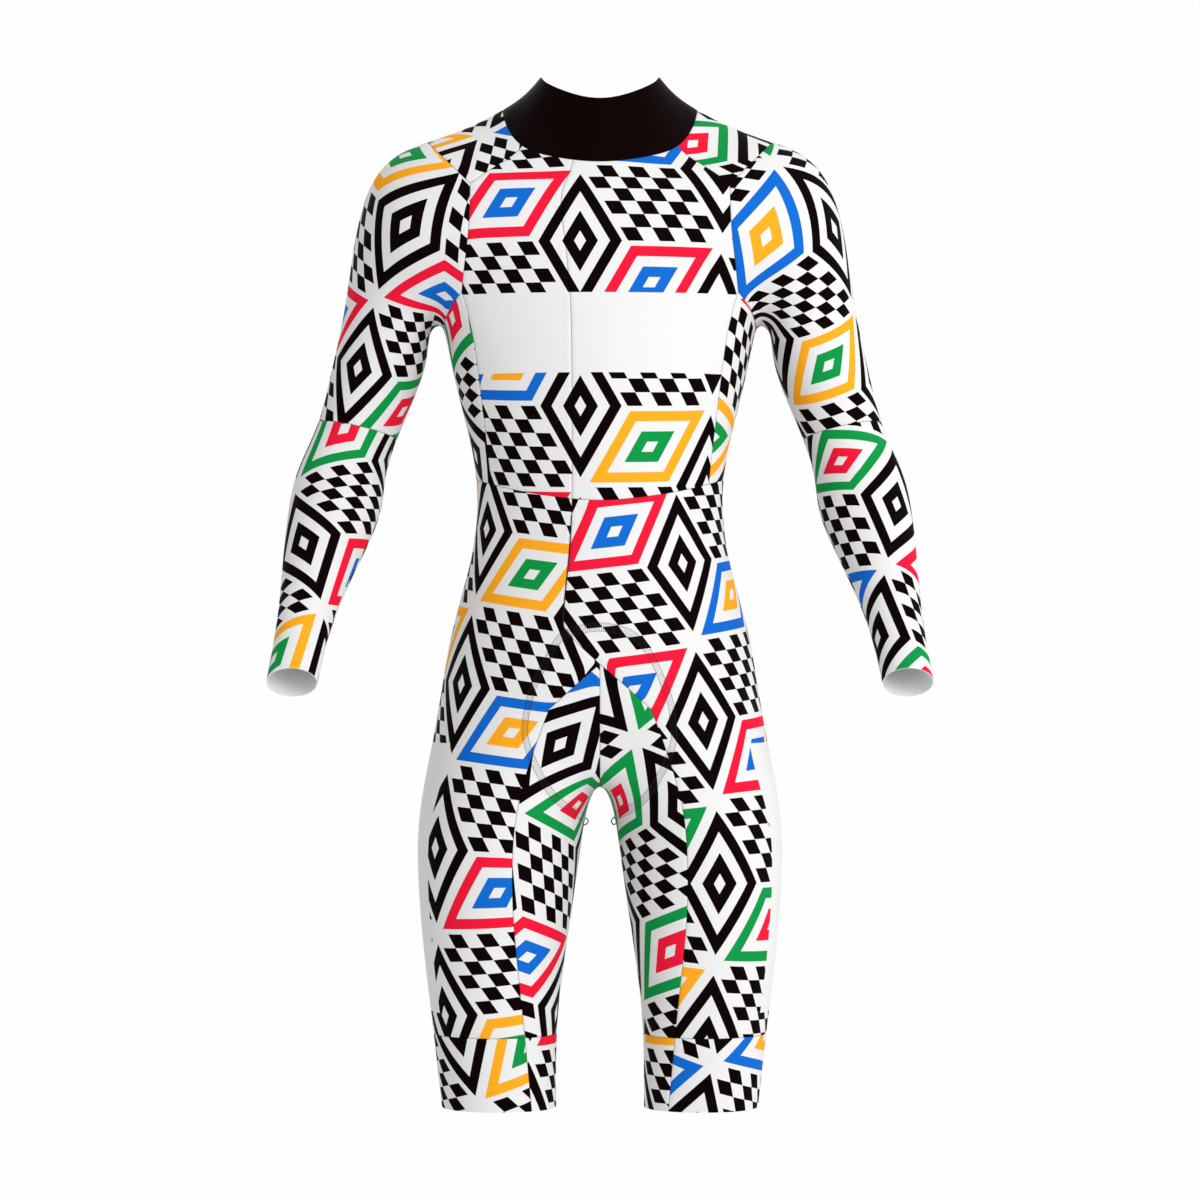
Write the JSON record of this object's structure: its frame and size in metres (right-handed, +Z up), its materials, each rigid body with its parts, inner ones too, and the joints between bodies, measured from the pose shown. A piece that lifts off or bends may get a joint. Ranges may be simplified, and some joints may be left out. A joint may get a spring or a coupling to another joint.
{
  "type": "long-sleeved speed suit",
  "caption": "Long-sleeved one-piece speed suit with a mock-neck collar, concealed front zip, open cuffs and short legs with gripper bands, hollow in its worn shape.",
  "frame": {"origin": "middle of the neck base, where the suit is held by the wearer's neck and shoulders", "axes": "+Z up along the body towards the head, -Y out of the chest, +X towards the wearer's left"},
  "size_m": [0.6798, 0.2987, 1.08],
  "materials": {
    "printed_knit": null,
    "collar_knit": "smooth black stretch knit, almost matt",
    "band_knit": "firm printed power knit, matt",
    "zip_tape": "black woven zip tape",
    "pad_foam": "brushed grey pad facing, matt"
  },
  "bodies": {
    "root": {"back": "printed_knit", "band_inner_left": "band_knit", "band_inner_right": "band_knit", "band_outer_left": "band_knit", "band_outer_right": "band_knit", "collar": "collar_knit", "front_left": "printed_knit", "front_right": "printed_knit", "inner_leg_left": "printed_knit", "inner_leg_right": "printed_knit", "leg_left": "printed_knit", "leg_right": "printed_knit", "seat_pad": "pad_foam", "side_left": "printed_knit", "side_right": "printed_knit", "sleeve_lower_left": "printed_knit", "sleeve_lower_right": "printed_knit", "sleeve_upper_left": "printed_knit", "sleeve_upper_right": "printed_knit", "yoke_left": "printed_knit", "yoke_right": "printed_knit", "zip_tape": "zip_tape"}
  },
  "joints": []
}
